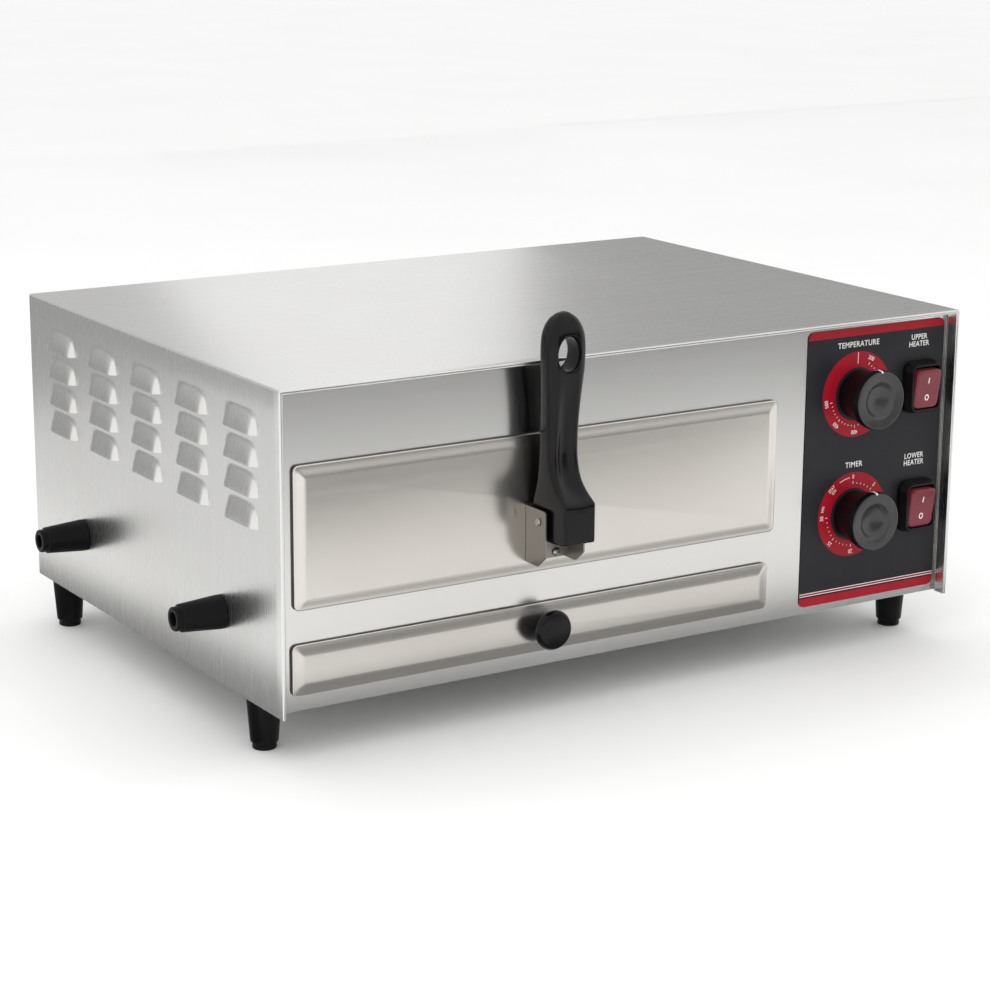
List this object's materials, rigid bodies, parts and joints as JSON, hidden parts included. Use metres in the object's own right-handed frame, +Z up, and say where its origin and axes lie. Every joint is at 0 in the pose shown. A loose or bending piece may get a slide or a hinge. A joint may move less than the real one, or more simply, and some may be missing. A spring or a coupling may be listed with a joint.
{
  "type": "countertop pizza oven",
  "caption": "Low stainless steel countertop oven on rubber feet, with a slide-out wire rack behind a drawer-like door, a folding handle, a crumb tray, dials and rocker switches.",
  "frame": {"origin": "on the surface that the feet stand on, under the middle of the oven's whole outline", "axes": "+X to the right of a person facing the oven, +Z up, so that the door faces -Y"},
  "size_m": [0.6716, 0.472, 0.3028],
  "materials": {
    "casing_steel": "fine straight brushing, satin",
    "drawer_steel": "duller, warmer brushed steel",
    "inner_steel": "plain mill-finish sheet",
    "element_sheath": "heat-darkened tube",
    "rack_chrome": "bright plated wire",
    "fastener_steel": "plated, bright",
    "handle_plastic": "heat-proof moulded plastic, satin",
    "foot_rubber": "moulded rubber, satin",
    "knob_plastic": "fine matt texture",
    "overlay_film": "printed film, charcoal with red bands and white lettering",
    "switch_plastic": "moulded, semi-gloss",
    "rocker_plastic": "translucent red with white marks",
    "blanket_wool": "loose mineral wool",
    "terminal_plastic": "plain moulded",
    "bulb_copper": "drawn copper tube",
    "gland_plastic": "moulded, satin"
  },
  "bodies": {
    "oven": {"outer_wrap": "casing_steel", "front_panel": "casing_steel", "back_panel": "casing_steel", "base_pan": "inner_steel", "chamber_liner": "inner_steel", "control_divider": "inner_steel", "upper_element_hanger_left": "inner_steel", "upper_element_hanger_right": "inner_steel", "lower_element_support_left": "inner_steel", "lower_element_support_right": "inner_steel", "rack_rail_left": "inner_steel", "rack_rail_right": "inner_steel", "tray_rail_left": "inner_steel", "tray_rail_right": "inner_steel", "thermostat_case": "inner_steel", "timer_case": "inner_steel", "upper_element": "element_sheath", "lower_element": "element_sheath", "front_left_foot_screw": "fastener_steel", "front_right_foot_screw": "fastener_steel", "rear_left_foot_screw": "fastener_steel", "rear_right_foot_screw": "fastener_steel", "left_front_bumper_screw": "fastener_steel", "left_rear_bumper_screw": "fastener_steel", "right_front_bumper_screw": "fastener_steel", "right_rear_bumper_screw": "fastener_steel", "front_left_foot": "foot_rubber", "front_right_foot": "foot_rubber", "rear_left_foot": "foot_rubber", "rear_right_foot": "foot_rubber", "left_front_bumper": "foot_rubber", "left_rear_bumper": "foot_rubber", "right_front_bumper": "foot_rubber", "right_rear_bumper": "foot_rubber", "control_overlay": "overlay_film", "upper_switch_housing": "switch_plastic", "lower_switch_housing": "switch_plastic", "insulation_blanket": "blanket_wool", "terminal_block": "terminal_plastic", "thermostat_bulb": "bulb_copper", "cord_gland": "gland_plastic"},
    "door_carriage": {"door_front": "drawer_steel", "door_inner_pan": "inner_steel", "wire_rack": "rack_chrome", "handle_bracket": "drawer_steel", "handle_pin": "fastener_steel", "bracket_screw_1": "fastener_steel", "bracket_screw_2": "fastener_steel"},
    "folding_handle": {"handle": "handle_plastic"},
    "crumb_tray": {"crumb_tray_pan": "inner_steel", "crumb_tray_front": "drawer_steel", "crumb_tray_knob": "handle_plastic"},
    "temperature_control": {"temperature_knob": "knob_plastic", "thermostat_shaft": "fastener_steel"},
    "timer_control": {"timer_knob": "knob_plastic", "timer_shaft": "fastener_steel"},
    "upper_rocker": {"upper_switch_rocker": "rocker_plastic"},
    "lower_rocker": {"lower_switch_rocker": "rocker_plastic"}
  },
  "joints": [
    {"name": "door_slide", "type": "slide", "parent": "oven", "child": "door_carriage", "axis": [0, -1, 0], "range_m": [0, 0.28]},
    {"name": "handle_fold", "type": "hinge", "parent": "door_carriage", "child": "folding_handle", "pos_m": [-0.0805, -0.2077, 0.1523], "axis": [1, 0, 0], "range_deg": [0, 90]},
    {"name": "crumb_tray_slide", "type": "slide", "parent": "oven", "child": "crumb_tray", "axis": [0, -1, 0], "range_m": [0, 0.3]},
    {"name": "temperature_turn", "type": "hinge", "parent": "oven", "child": "temperature_control", "pos_m": [0.2077, -0.187, 0.2078], "axis": [0, 1, 0], "range_deg": [0, 280]},
    {"name": "timer_turn", "type": "hinge", "parent": "oven", "child": "timer_control", "pos_m": [0.2077, -0.187, 0.1123], "axis": [0, 1, 0], "range_deg": [-45, 270]},
    {"name": "upper_switch_rock", "type": "hinge", "parent": "oven", "child": "upper_rocker", "pos_m": [0.27, -0.1937, 0.2078], "axis": [-1, 0, 0], "range_deg": [0, 16]},
    {"name": "lower_switch_rock", "type": "hinge", "parent": "oven", "child": "lower_rocker", "pos_m": [0.27, -0.1937, 0.1123], "axis": [-1, 0, 0], "range_deg": [0, 16]}
  ]
}
